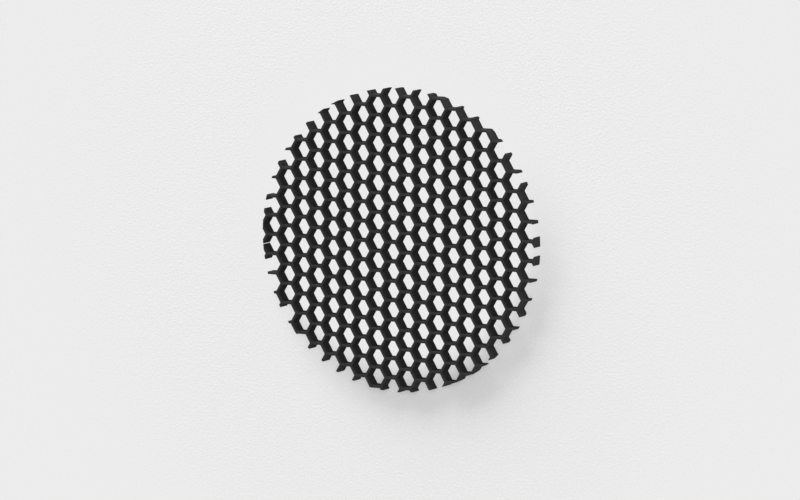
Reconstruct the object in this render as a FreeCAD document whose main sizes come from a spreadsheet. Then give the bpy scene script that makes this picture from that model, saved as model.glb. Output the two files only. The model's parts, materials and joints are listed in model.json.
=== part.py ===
import FreeCAD, Part
import math
import os
import Sketcher
from FreeCAD import Vector

# Honeycomb louver: a round slice of hexagonal core, one piece of even wall.
# The cells go right through, and the rim cuts across whatever walls it meets.
# The disc axis is +Z, the back face lies on Z = 0 and the origin is its centre.
# Two walls of each cell run along X, so its corners point to -X and +X.

# Driving dimensions in millimetres
dimensions = {
    "disc_diameter": 50.0,
    "core_depth": 2.35,
    "cell_pitch": 3.2,
    "wall_thickness": 0.4,
    "cell_offset_x": 1.61,
    "cell_offset_y": -0.37,
}

# Plan of a hexagon with two sides along X
side_count = 6
side_turn = 2 * math.pi / side_count
corner_per_flat = 1 / math.sqrt(3)

# Sizes worked out from the driving dimensions
disc_radius = "Dimensions.disc_diameter / 2"
cell_opening = "Dimensions.cell_pitch - Dimensions.wall_thickness"
column_step = "sqrt(3) / 2 * Dimensions.cell_pitch"
half_pitch = "Dimensions.cell_pitch / 2"
pair_step = f"2 * ({column_step})"
columns_left = f"ceil(({disc_radius} + Dimensions.cell_offset_x) / ({pair_step}))"
columns_right = f"ceil(({disc_radius} - Dimensions.cell_offset_x) / ({pair_step}))"
rows_below = f"ceil(({disc_radius} + Dimensions.cell_offset_y) / Dimensions.cell_pitch)"
rows_above = f"ceil(({disc_radius} - Dimensions.cell_offset_y) / Dimensions.cell_pitch)"


def make_sheet(document):
    sheet = document.addObject("Spreadsheet::Sheet", "Dimensions")
    for row, (name, value) in enumerate(dimensions.items(), start=1):
        sheet.set(f"A{row}", name)
        sheet.set(f"B{row}", str(value))
        sheet.setAlias(f"B{row}", name)
    document.recompute()
    return sheet


def add_sketch(body, name):
    sketch = body.newObject("Sketcher::SketchObject", name)
    planes = [item for item in body.Origin.OriginFeatures if item.Role == "XY_Plane"]
    sketch.AttachmentSupport = [(planes[0], "")]
    sketch.MapMode = "FlatFace"
    return sketch


def bind_constraint(sketch, name, expression, *constraint):
    index = sketch.addConstraint(Sketcher.Constraint(*constraint))
    sketch.renameConstraint(index, name)
    sketch.setExpression(f"Constraints.{name}", expression)


# Round outline of the slice, centred on the origin
def draw_disc_outline(body, sheet):
    sketch = add_sketch(body, "disc_outline")
    diameter = sheet.get("disc_diameter")
    circle = Part.Circle(Vector(), Vector(0, 0, 1), diameter / 2)
    rim = sketch.addGeometry(circle, False)
    sketch.addConstraint(Sketcher.Constraint("Coincident", rim, 3, -1, 1))
    bind_constraint(sketch, "diameter", "Dimensions.disc_diameter", "Diameter", rim, diameter)
    return sketch


# Regular hexagon on a construction circle, with its opening across two flats
def draw_cell(sketch, name, centre, opening):
    corner_distance = opening * corner_per_flat
    circle = Part.Circle(centre, Vector(0, 0, 1), corner_distance)
    guide = sketch.addGeometry(circle, True)
    corners = []
    for index in range(side_count):
        angle = index * side_turn
        reach = Vector(math.cos(angle), math.sin(angle), 0) * corner_distance
        corners.append(centre + reach)
    sides = []
    for index in range(side_count):
        side = Part.LineSegment(corners[index], corners[(index + 1) % side_count])
        sides.append(sketch.addGeometry(side, False))
    for index, side in enumerate(sides):
        following = sides[(index + 1) % side_count]
        sketch.addConstraint(Sketcher.Constraint("Coincident", side, 2, following, 1))
        sketch.addConstraint(Sketcher.Constraint("PointOnObject", side, 1, guide))
    for side in sides[1:]:
        sketch.addConstraint(Sketcher.Constraint("Equal", sides[0], side))
    top = sides[1]
    bottom = sides[1 + side_count // 2]
    sketch.addConstraint(Sketcher.Constraint("Horizontal", top))
    opening_name = f"{name}_opening"
    bind_constraint(sketch, opening_name, cell_opening, "DistanceY", bottom, 1, top, 2, opening)
    return guide


# Two neighbouring cells at the lower left, which repeat over the whole slice
def draw_cell_pair(body, sheet):
    sketch = add_sketch(body, "cell_pair")
    first_x = f"Dimensions.cell_offset_x - {columns_left} * {pair_step}"
    first_y = f"Dimensions.cell_offset_y - {rows_below} * Dimensions.cell_pitch"
    sketch.setExpression(".AttachmentOffset.Base.x", first_x)
    sketch.setExpression(".AttachmentOffset.Base.y", first_y)
    pitch = sheet.get("cell_pitch")
    opening = pitch - sheet.get("wall_thickness")
    step = math.sqrt(3) / 2 * pitch
    first = draw_cell(sketch, "first", Vector(), opening)
    second = draw_cell(sketch, "second", Vector(step, pitch / 2, 0), opening)
    sketch.addConstraint(Sketcher.Constraint("Coincident", first, 3, -1, 1))
    bind_constraint(sketch, "step_across", column_step, "DistanceX", -1, 1, second, 3, step)
    bind_constraint(sketch, "step_up", half_pitch, "DistanceY", -1, 1, second, 3, pitch / 2)
    return sketch


def make_louver(document, sheet):
    body = document.addObject("PartDesign::Body", "Louver")
    body.Label = "honeycomb_louver"
    body.Placement = FreeCAD.Placement()

    # Plain round slice
    outline = draw_disc_outline(body, sheet)
    slice_pad = body.newObject("PartDesign::Pad", "Slice")
    slice_pad.Profile = outline
    slice_pad.setExpression("Length", "Dimensions.core_depth")
    document.recompute()

    # First pair of cells, cut through from the back face
    pair = draw_cell_pair(body, sheet)
    document.recompute()
    first_cells = body.newObject("PartDesign::Pocket", "FirstCells")
    first_cells.Profile = pair
    first_cells.Type = "ThroughAll"
    first_cells.Reversed = True

    # All the cells, in columns along X and rows along Y
    cells = body.newObject("PartDesign::LinearPattern", "Cells")
    cells.Originals = [first_cells]
    cells.Direction = (pair, ["H_Axis"])
    cells.Mode = "Spacing"
    cells.Direction2 = (pair, ["V_Axis"])
    cells.Mode2 = "Spacing"
    document.recompute()
    cells.setExpression("Offset", pair_step)
    cells.setExpression("Occurrences", f"{columns_left} + {columns_right} + 1")
    cells.setExpression("Offset2", "Dimensions.cell_pitch")
    cells.setExpression("Occurrences2", f"{rows_below} + {rows_above} + 1")
    body.Tip = cells
    document.recompute()
    if cells.Shape.Volume >= slice_pad.Shape.Volume:
        raise RuntimeError("the cells cut nothing from the slice")
    return body


def check_document(document, bodies):
    for item in document.Objects:
        if "Invalid" in item.State or "Error" in item.State:
            raise RuntimeError(f"{item.Name} has failed: {item.State}")
    for body in bodies:
        if body.Shape.isNull() or not body.Shape.isValid():
            raise RuntimeError(f"{body.Label} has no valid shape")


def export_bodies(bodies):
    os.makedirs("parts", exist_ok=True)
    for body in bodies:
        body.Shape.exportStep(f"parts/{body.Label}.step")
        print(body.Label, round(body.Shape.Volume, 2), "mm3,", len(body.Shape.Solids), "solid")


document = FreeCAD.newDocument("HoneycombLouver")
sheet = make_sheet(document)
bodies = [make_louver(document, sheet)]
check_document(document, bodies)
export_bodies(bodies)
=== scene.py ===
import json
import math
import bpy
from mathutils import Euler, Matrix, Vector


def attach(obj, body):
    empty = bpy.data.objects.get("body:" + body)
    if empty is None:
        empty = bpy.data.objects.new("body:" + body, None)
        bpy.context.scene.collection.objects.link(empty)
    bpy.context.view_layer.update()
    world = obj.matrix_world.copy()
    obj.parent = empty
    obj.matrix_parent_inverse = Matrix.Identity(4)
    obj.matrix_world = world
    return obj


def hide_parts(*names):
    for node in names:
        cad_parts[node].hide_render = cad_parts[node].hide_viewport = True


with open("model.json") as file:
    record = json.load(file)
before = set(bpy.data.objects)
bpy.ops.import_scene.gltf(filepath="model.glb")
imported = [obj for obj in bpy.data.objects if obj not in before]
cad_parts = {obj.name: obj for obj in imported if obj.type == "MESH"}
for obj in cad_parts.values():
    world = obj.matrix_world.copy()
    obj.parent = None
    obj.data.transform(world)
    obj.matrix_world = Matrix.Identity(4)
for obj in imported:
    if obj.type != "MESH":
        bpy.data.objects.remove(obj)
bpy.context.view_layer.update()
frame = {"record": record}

# A round slice of black honeycomb, lying on its back face on a pale floor.
# It is modelled in millimetres and brought down to metres once it is whole.
millimetre = 0.001
hexTurn = math.radians(30)

rimMount = [mount for mount in frame["record"]["mounts"] if mount["name"] == "rim"][0]
discRadius = rimMount["dims"]["r_mm"]
discDepth = rimMount["dims"]["length_mm"]


def deselectAll():
    if bpy.context.mode != "OBJECT":
        bpy.ops.object.mode_set(mode="OBJECT")
    bpy.ops.object.select_all(action="DESELECT")


def workOn(piece):
    deselectAll()
    piece.select_set(True)
    bpy.context.view_layer.objects.active = piece


def pick(piece, mode, wanted):  # wanted says yes or no to one face or edge
    workOn(piece)
    bpy.ops.object.mode_set(mode="EDIT")
    bpy.ops.mesh.select_mode(type=mode)
    bpy.ops.mesh.select_all(action="DESELECT")
    bpy.ops.object.mode_set(mode="OBJECT")
    items = piece.data.polygons if mode == "FACE" else piece.data.edges
    for item in items:
        item.select = wanted(item)
    bpy.ops.object.mode_set(mode="EDIT")


def applyModifier(piece, name, kind, **values):
    workOn(piece)
    modifier = piece.modifiers.new(name, kind)
    for key, value in values.items():
        setattr(modifier, key, value)
    bpy.ops.object.modifier_apply(modifier=name)


def edgeEnds(piece, edge):
    return [piece.data.vertices[index].co for index in edge.vertices]


# How far out a point lies, square to the nearest wall of a cell at the origin
def acrossFlats(point):
    slanted = abs(point.x) * math.cos(hexTurn) + abs(point.y) * math.sin(hexTurn)
    return max(abs(point.y), slanted)


louver = {
    "pitch": 3.2,  # centre to centre of two cells that share a wall
    "wall": 0.4,
    "centre": (1.61, -0.37),  # the cell nearest the disc's axis
    "cornerRound": 0.06,  # fillet down each corner of a cell
    "cornerSteps": 3,
    "edgeRound": 0.02,  # broken edge round each mouth of a cell
    "edgeSteps": 3,
    "rimSteps": 720,
    "weld": 0.001,  # points nearer than this are one
    "upright": 0.5,  # a face whose normal has less Z than this is a wall
    "smoothAngle": 35,
}
openReach = (louver["pitch"] - louver["wall"]) / 2
wallMiddle = louver["pitch"] / 2
betweenWalls = (openReach + wallMiddle) / 2
columnStep = louver["pitch"] * math.cos(hexTurn)


# One cell with half of each wall round it, eased at its corners and mouths
def makeCell():
    deselectAll()
    bpy.ops.mesh.primitive_circle_add(vertices=6, radius=wallMiddle / math.cos(hexTurn),
                                      fill_type="NGON", rotation=(0, 0, hexTurn))
    cell = bpy.context.active_object
    bpy.ops.object.transform_apply(location=True, rotation=True, scale=True)
    bpy.ops.object.mode_set(mode="EDIT")
    bpy.ops.mesh.select_mode(type="FACE")
    bpy.ops.mesh.select_all(action="SELECT")
    bpy.ops.mesh.inset(thickness=louver["wall"] / 2)
    bpy.ops.mesh.delete(type="FACE")
    bpy.ops.mesh.select_all(action="SELECT")
    bpy.ops.mesh.extrude_region_move(TRANSFORM_OT_translate={"value": (0, 0, discDepth)})
    bpy.ops.mesh.select_all(action="SELECT")
    bpy.ops.mesh.normals_make_consistent(inside=False)

    betweenCorners = betweenWalls / math.cos(hexTurn)

    def isInnerCorner(edge):
        start, end = edgeEnds(cell, edge)
        return abs(end.z - start.z) > discDepth / 2 and start.xy.length < betweenCorners

    pick(cell, "EDGE", isInnerCorner)
    bpy.ops.mesh.bevel(offset=louver["cornerRound"], segments=louver["cornerSteps"], affect="EDGES")

    def isMouth(edge):
        start, end = edgeEnds(cell, edge)
        isLevel = abs(end.z - start.z) < louver["weld"]
        return isLevel and acrossFlats((start + end) / 2) < openReach + louver["weld"]

    pick(cell, "EDGE", isMouth)
    bpy.ops.mesh.bevel(offset=louver["edgeRound"], segments=louver["edgeSteps"], affect="EDGES")

    # the faces through the middle of each wall go, so that neighbours join there
    def isWallMiddle(face):
        isUpright = abs(face.normal.z) < louver["upright"]
        return isUpright and acrossFlats(face.center) > betweenWalls

    pick(cell, "FACE", isWallMiddle)
    bpy.ops.mesh.delete(type="FACE")
    bpy.ops.object.mode_set(mode="OBJECT")
    print("one cell:", len(cell.data.polygons), "faces")
    return cell


def repeatPiece(piece, name, step, count):
    applyModifier(piece, name, "ARRAY", use_relative_offset=False, use_constant_offset=True,
                  constant_offset_displace=step, count=count,
                  use_merge_vertices=True, merge_threshold=louver["weld"])


# Cells in pairs of neighbouring columns, over a square that holds the disc
def fillWithCells(cell):
    centreX, centreY = louver["centre"]
    pairStep = 2 * columnStep
    columnsLeft = math.ceil((discRadius + centreX) / pairStep)
    columnsRight = math.ceil((discRadius - centreX) / pairStep)
    rowsBelow = math.ceil((discRadius + centreY) / louver["pitch"])
    rowsAbove = math.ceil((discRadius - centreY) / louver["pitch"])
    workOn(cell)
    cell.location = (centreX - columnsLeft * pairStep, centreY - rowsBelow * louver["pitch"], 0)
    bpy.ops.object.transform_apply(location=True, rotation=True, scale=True)
    repeatPiece(cell, "neighbour", (columnStep, wallMiddle, 0), 2)
    repeatPiece(cell, "rows", (0, louver["pitch"], 0), rowsBelow + rowsAbove + 1)
    repeatPiece(cell, "columns", (pairStep, 0, 0), columnsLeft + columnsRight + 1)
    bpy.ops.object.mode_set(mode="EDIT")
    bpy.ops.mesh.select_mode(type="EDGE")
    bpy.ops.mesh.select_all(action="SELECT")
    bpy.ops.mesh.remove_doubles(threshold=louver["weld"])
    bpy.ops.mesh.select_all(action="DESELECT")
    bpy.ops.mesh.select_non_manifold()
    bpy.ops.mesh.bridge_edge_loops()  # closes the outline of the square
    bpy.ops.mesh.select_all(action="SELECT")
    bpy.ops.mesh.normals_make_consistent(inside=False)
    bpy.ops.object.mode_set(mode="OBJECT")
    print("honeycomb:", len(cell.data.polygons), "faces")


def cutRim(piece):
    deselectAll()
    bpy.ops.mesh.primitive_cylinder_add(vertices=louver["rimSteps"], radius=discRadius,
                                        depth=2 * discDepth, location=(0, 0, discDepth / 2))
    cutter = bpy.context.active_object
    bpy.ops.object.transform_apply(location=True, rotation=True, scale=True)
    applyModifier(piece, "rim", "BOOLEAN", operation="INTERSECT", object=cutter, solver="EXACT")
    bpy.data.objects.remove(cutter)
    print("disc:", len(piece.data.polygons), "faces")


def makeLouver():
    piece = makeCell()
    fillWithCells(piece)
    cutRim(piece)
    workOn(piece)
    piece.scale = (millimetre, millimetre, millimetre)
    bpy.ops.object.transform_apply(location=True, rotation=True, scale=True)
    bpy.ops.object.shade_smooth_by_angle(angle=math.radians(louver["smoothAngle"]))
    applyModifier(piece, "flatFaces", "WEIGHTED_NORMAL", keep_sharp=True)
    piece.name = "honeycombLouver"
    piece.data.name = "honeycombLouver"
    return piece


# Nodes: one call makes a node, and one joins two sockets
def addNode(tree, kind, sockets=None, **values):
    node = tree.nodes.new(kind)
    for key, value in values.items():
        setattr(node, key, value)
    for key, value in (sockets or {}).items():
        node.inputs[key].default_value = value
    return node


def join(tree, source, output, target, entry):
    tree.links.new(source.outputs[output], target.inputs[entry])


grainNoise = {"Detail": 3.0, "Roughness": 0.6}
cloudNoise = {"Detail": 2.0, "Roughness": 0.5}


# Fine grain and slow clouds, from 0 to 1, shared by the louver and the floor
def makeGrainGroup():
    group = bpy.data.node_groups.new("surfaceGrain", "ShaderNodeTree")
    sockets = (("Vector", "INPUT", "NodeSocketVector"),
               ("Grain Scale", "INPUT", "NodeSocketFloat"),
               ("Cloud Scale", "INPUT", "NodeSocketFloat"),
               ("Grain", "OUTPUT", "NodeSocketFloat"),
               ("Clouds", "OUTPUT", "NodeSocketFloat"))
    for name, side, kind in sockets:
        group.interface.new_socket(name=name, in_out=side, socket_type=kind)
    entry = addNode(group, "NodeGroupInput")
    result = addNode(group, "NodeGroupOutput")
    kinds = ((grainNoise, "Grain Scale", "Grain"), (cloudNoise, "Cloud Scale", "Clouds"))
    for settings, scale, name in kinds:
        noise = addNode(group, "ShaderNodeTexNoise", settings)
        join(group, entry, "Vector", noise, "Vector")
        join(group, entry, scale, noise, "Scale")
        join(group, noise, "Fac", result, name)
    return group


def startMaterial(name):
    material = bpy.data.materials.new(name)
    material.use_nodes = True
    tree = material.node_tree
    tree.nodes.clear()
    return material, tree


def scaled(colour, share):  # a darker or a paler tone of the same colour
    return tuple(value * share for value in colour[:3]) + (1,)


def mixColours(tree, first=None, second=None):
    node = addNode(tree, "ShaderNodeMix", data_type="RGBA")
    if first:
        node.inputs["A"].default_value = first
    if second:
        node.inputs["B"].default_value = second
    return node


def spread(tree, source, output, low, high):  # a mask from 0 to 1 runs from low to high
    node = addNode(tree, "ShaderNodeMapRange", {"To Min": low, "To Max": high})
    join(tree, source, output, node, "Value")
    return node


# 1 for rays from the camera and those that a glossy or a clear surface sends on, else 0
def seenRays(tree):
    rays = addNode(tree, "ShaderNodeLightPath")
    straight = addNode(tree, "ShaderNodeMath", operation="ADD")
    join(tree, rays, "Is Camera Ray", straight, 0)
    join(tree, rays, "Is Glossy Ray", straight, 1)
    seen = addNode(tree, "ShaderNodeMath", operation="ADD", use_clamp=True)
    join(tree, straight, 0, seen, 0)
    join(tree, rays, "Is Transmission Ray", seen, 1)
    return seen


blackFinish = {
    "cutDark": (0.0255, 0.0255, 0.0255, 1),  # the two sliced faces
    "cutPale": (0.0422, 0.0422, 0.0422, 1),
    "wallShadedBack": (0.0355, 0.0355, 0.0355, 1),  # the walls inside the cells, with painted shade at the back and painted light at the front, paler than the sliced faces
    "wallLitFront": (0.0525, 0.0525, 0.0525, 1),
    "paintedShadeShare": 0.5,  # how far the painted shade by depth in a cell, and not the grain, sets a wall's tone
    # painted highlight on the rounded edges
    "edge": (0.0420, 0.0420, 0.0420, 1),
    "edgeHighlightGain": 4.0,  # level times upright is a quarter at most, and this makes it 1
    "roughness": (0.76, 0.90),
    "specular": 0.012,
    "grainScale": 5500,
    "cloudScale": 420,
    "sawScale": 2600,
    "sawDetail": 2.0,
    "sawTurn": 38,
    "sawStretch": 0.02,
    "bump": 0.4,
    "bumpDepth": 0.00004,
}


def makeBlackFinish(grainGroup):
    material, tree = startMaterial("blackAnodised")
    output = addNode(tree, "ShaderNodeOutputMaterial")
    surface = addNode(tree, "ShaderNodeBsdfPrincipled",
                      {"Metallic": 0.0, "Specular IOR Level": blackFinish["specular"]})
    join(tree, surface, "BSDF", output, "Surface")
    place = addNode(tree, "ShaderNodeTexCoord")
    grain = addNode(tree, "ShaderNodeGroup", node_tree=grainGroup)
    grain.inputs["Grain Scale"].default_value = blackFinish["grainScale"]
    grain.inputs["Cloud Scale"].default_value = blackFinish["cloudScale"]
    join(tree, place, "Object", grain, "Vector")

    # level is 1 on the two sliced faces and 0 on the walls, and in between on a rounded edge
    geometry = addNode(tree, "ShaderNodeNewGeometry")
    split = addNode(tree, "ShaderNodeSeparateXYZ")
    join(tree, geometry, "True Normal", split, "Vector")
    level = addNode(tree, "ShaderNodeMath", operation="ABSOLUTE")
    join(tree, split, "Z", level, 0)
    upright = addNode(tree, "ShaderNodeMath", {0: 1.0}, operation="SUBTRACT")
    join(tree, level, 0, upright, 1)
    lean = addNode(tree, "ShaderNodeMath", operation="MULTIPLY")
    join(tree, level, 0, lean, 0)
    join(tree, upright, 0, lean, 1)
    edges = addNode(tree, "ShaderNodeMath", {1: blackFinish["edgeHighlightGain"]},
                    operation="MULTIPLY", use_clamp=True)
    join(tree, lean, 0, edges, 0)

    # painted shade: the walls go from dark at the back to pale at the front, with the grain on top
    spot = addNode(tree, "ShaderNodeSeparateXYZ")
    join(tree, place, "Object", spot, "Vector")
    paintedShadeRamp = addNode(tree, "ShaderNodeMapRange",
                   {"From Min": 0.0, "From Max": discDepth * millimetre})
    join(tree, spot, "Z", paintedShadeRamp, "Value")
    grainAndPaintedShade = addNode(tree, "ShaderNodeMix", {"Factor": blackFinish["paintedShadeShare"]})
    join(tree, grain, "Grain", grainAndPaintedShade, "A")
    join(tree, paintedShadeRamp, "Result", grainAndPaintedShade, "B")
    wall = mixColours(tree, blackFinish["wallShadedBack"], blackFinish["wallLitFront"])
    join(tree, grainAndPaintedShade, "Result", wall, "Factor")
    cut = mixColours(tree, blackFinish["cutDark"], blackFinish["cutPale"])
    join(tree, grain, "Grain", cut, "Factor")
    # painted light: the walls take paler tones than the sliced faces of the same black finish
    base = mixColours(tree)
    join(tree, wall, "Result", base, "A")
    join(tree, cut, "Result", base, "B")
    join(tree, level, 0, base, "Factor")
    # painted highlight: the rounded edges take a paler tone, broken up by the grain
    paintedEdgeHighlight = addNode(tree, "ShaderNodeMath", operation="MULTIPLY")
    join(tree, edges, 0, paintedEdgeHighlight, 0)
    join(tree, grain, "Grain", paintedEdgeHighlight, 1)
    colour = mixColours(tree, second=blackFinish["edge"])
    join(tree, base, "Result", colour, "A")
    join(tree, paintedEdgeHighlight, 0, colour, "Factor")
    join(tree, colour, "Result", surface, "Base Color")

    # faint straight marks of the slicing blade, on the two sliced faces alone
    turned = addNode(tree, "ShaderNodeMapping")
    turned.inputs["Rotation"].default_value = (0, 0, math.radians(blackFinish["sawTurn"]))
    turned.inputs["Scale"].default_value = (1, blackFinish["sawStretch"], 1)
    join(tree, place, "Object", turned, "Vector")
    saw = addNode(tree, "ShaderNodeTexNoise",
                  {"Scale": blackFinish["sawScale"], "Detail": blackFinish["sawDetail"]})
    join(tree, turned, "Vector", saw, "Vector")
    marks = addNode(tree, "ShaderNodeMath", operation="MULTIPLY")
    join(tree, saw, "Fac", marks, 0)
    join(tree, level, 0, marks, 1)
    height = addNode(tree, "ShaderNodeMath", operation="ADD")
    join(tree, grain, "Grain", height, 0)
    join(tree, marks, 0, height, 1)
    bump = addNode(tree, "ShaderNodeBump",
                   {"Strength": blackFinish["bump"], "Distance": blackFinish["bumpDepth"]})
    join(tree, height, 0, bump, "Height")
    join(tree, bump, "Normal", surface, "Normal")
    roughness = spread(tree, grain, "Clouds", *blackFinish["roughness"])
    join(tree, roughness, "Result", surface, "Roughness")
    print("black finish is made")
    return material


paleFloor = {
    "size": 8,
    "tone": (0.842, 0.842, 0.842, 1),
    "grainSpread": 0.05,  # how far the grain goes to either side of the tone
    "grainScale": 2600,
    "cloudScale": 9,
    "bump": 0.34,
    "bumpDepth": 0.0002,
    "roughness": (0.86, 0.94),
    # share of the floor that shows its plain tone, with no shade on it
    "plainInCells": 0.98,
    "plainNear": 0.0,
    "plainFar": 1.0,
    "cellCentre": (-0.0015, 0.0045, 0),
    "cellFade": (0.023, 0.033),
    "farFade": (0.040, 0.080),
}


def makeFloorFinish(grainGroup):
    material, tree = startMaterial("paleFloor")
    output = addNode(tree, "ShaderNodeOutputMaterial")
    surface = addNode(tree, "ShaderNodeBsdfPrincipled", {"Specular IOR Level": 0.0})
    plain = addNode(tree, "ShaderNodeEmission", {"Strength": 1.0})
    mixed = addNode(tree, "ShaderNodeMixShader")
    join(tree, surface, "BSDF", mixed, 1)
    join(tree, plain, "Emission", mixed, 2)
    join(tree, mixed, "Shader", output, "Surface")
    place = addNode(tree, "ShaderNodeTexCoord")
    grain = addNode(tree, "ShaderNodeGroup", node_tree=grainGroup)
    grain.inputs["Grain Scale"].default_value = paleFloor["grainScale"]
    grain.inputs["Cloud Scale"].default_value = paleFloor["cloudScale"]
    join(tree, place, "Object", grain, "Vector")
    roughness = spread(tree, grain, "Clouds", *paleFloor["roughness"])
    join(tree, roughness, "Result", surface, "Roughness")
    bump = addNode(tree, "ShaderNodeBump",
                   {"Strength": paleFloor["bump"], "Distance": paleFloor["bumpDepth"]})
    join(tree, grain, "Grain", bump, "Height")
    join(tree, bump, "Normal", surface, "Normal")
    tint = mixColours(tree, scaled(paleFloor["tone"], 1 - paleFloor["grainSpread"]),
                      scaled(paleFloor["tone"], 1 + paleFloor["grainSpread"]))
    join(tree, grain, "Grain", tint, "Factor")
    join(tree, tint, "Result", surface, "Base Color")
    join(tree, tint, "Result", plain, "Color")

    # plain under the open cells and far off, while the ground near the rim takes the shadow
    reach = addNode(tree, "ShaderNodeVectorMath", {1: paleFloor["cellCentre"]},
                    operation="DISTANCE")
    join(tree, place, "Object", reach, 0)
    inCells = addNode(tree, "ShaderNodeMapRange", {
        "From Min": paleFloor["cellFade"][0], "From Max": paleFloor["cellFade"][1],
        "To Min": paleFloor["plainInCells"], "To Max": paleFloor["plainNear"]},
        interpolation_type="SMOOTHSTEP")
    farOff = addNode(tree, "ShaderNodeMapRange", {
        "From Min": paleFloor["farFade"][0], "From Max": paleFloor["farFade"][1],
        "To Min": 0.0, "To Max": paleFloor["plainFar"] - paleFloor["plainNear"]},
        interpolation_type="SMOOTHSTEP")
    for fade in (inCells, farOff):
        join(tree, reach, "Value", fade, "Value")
    share = addNode(tree, "ShaderNodeMath", operation="ADD")
    join(tree, inCells, "Result", share, 0)
    join(tree, farOff, "Result", share, 1)
    factor = addNode(tree, "ShaderNodeMath", operation="MULTIPLY")
    join(tree, seenRays(tree), 0, factor, 0)
    join(tree, share, 0, factor, 1)
    join(tree, factor, 0, mixed, 0)
    return material


def makeFloor(finish):
    deselectAll()
    bpy.ops.mesh.primitive_plane_add(size=paleFloor["size"])
    floor = bpy.context.active_object
    floor.name = "floor"
    floor.data.materials.append(finish)
    print("floor is laid")


# Each lamp is a soft oval aimed at the origin, and its share is what it adds to a level floor
light = {
    "ambient": 0.48,
    "distance": 2.0,
    "key": {"azimuth": 124, "height": 15, "width": 2.4, "depth": 1.0, "share": 0.29},
    "fill": {"azimuth": 23, "height": 62, "width": 1.2, "depth": 1.2, "share": 0.30},
}


def addLamp(name, settings):
    azimuth = math.radians(settings["azimuth"])
    height = math.radians(settings["height"])
    lamp = bpy.data.lights.new(name, "AREA")
    lamp.shape = "ELLIPSE"
    lamp.size = settings["width"]
    lamp.size_y = settings["depth"]
    lamp.energy = (math.pi * light["distance"]) ** 2 * settings["share"] / math.sin(height)
    holder = bpy.data.objects.new(name, lamp)
    across = light["distance"] * math.cos(height)
    holder.location = (across * math.cos(azimuth), across * math.sin(azimuth),
                       light["distance"] * math.sin(height))
    holder.rotation_euler = holder.location.to_track_quat("Z", "Y").to_euler()
    bpy.context.scene.collection.objects.link(holder)


def lightScene():
    world = bpy.data.worlds.new("studio")
    bpy.context.scene.world = world
    world.use_nodes = True
    tree = world.node_tree
    tree.nodes.clear()
    output = addNode(tree, "ShaderNodeOutputWorld")
    mixed = addNode(tree, "ShaderNodeMixShader")
    soft = addNode(tree, "ShaderNodeBackground", {"Strength": light["ambient"]})
    soft.inputs["Color"].default_value = (1, 1, 1, 1)
    backdrop = addNode(tree, "ShaderNodeBackground", {"Strength": 1.0})
    backdrop.inputs["Color"].default_value = paleFloor["tone"]
    join(tree, seenRays(tree), 0, mixed, 0)
    join(tree, soft, "Background", mixed, 1)
    join(tree, backdrop, "Background", mixed, 2)
    join(tree, mixed, "Shader", output, "Surface")
    addLamp("keyLamp", light["key"])
    addLamp("fillLamp", light["fill"])
    print("lights are set")


# The camera keeps the photograph's angle to the disc, so it looks down on it here
view = {
    "turn": 27.661,
    "tilt": -7.466,
    "distance": 879.3,
    "asideRight": 0.570,
    "asideUp": -1.484,
    "lens": 242.36,
    "clip": (0.01, 100),
}


def setCamera():
    data = bpy.data.cameras.new("camera")
    data.lens = view["lens"]
    data.clip_start, data.clip_end = view["clip"]
    camera = bpy.data.objects.new("camera", data)
    camera.rotation_euler = Euler((math.radians(view["tilt"]), math.radians(view["turn"]), 0))
    aim = Vector((0, 0, discDepth))
    back = Vector((view["asideRight"], view["asideUp"], view["distance"]))
    back.rotate(camera.rotation_euler)
    camera.location = (aim + back) * millimetre
    bpy.context.scene.collection.objects.link(camera)
    bpy.context.scene.camera = camera
    print("camera at", [round(value, 4) for value in camera.location])


bpy.context.scene.view_settings.view_transform = "Standard"
grainGroup = makeGrainGroup()
disc = makeLouver()
disc.data.materials.clear()
disc.data.materials.append(makeBlackFinish(grainGroup))
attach(disc, "root")
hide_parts("honeycomb_louver")
makeFloor(makeFloorFinish(grainGroup))
lightScene()
setCamera()
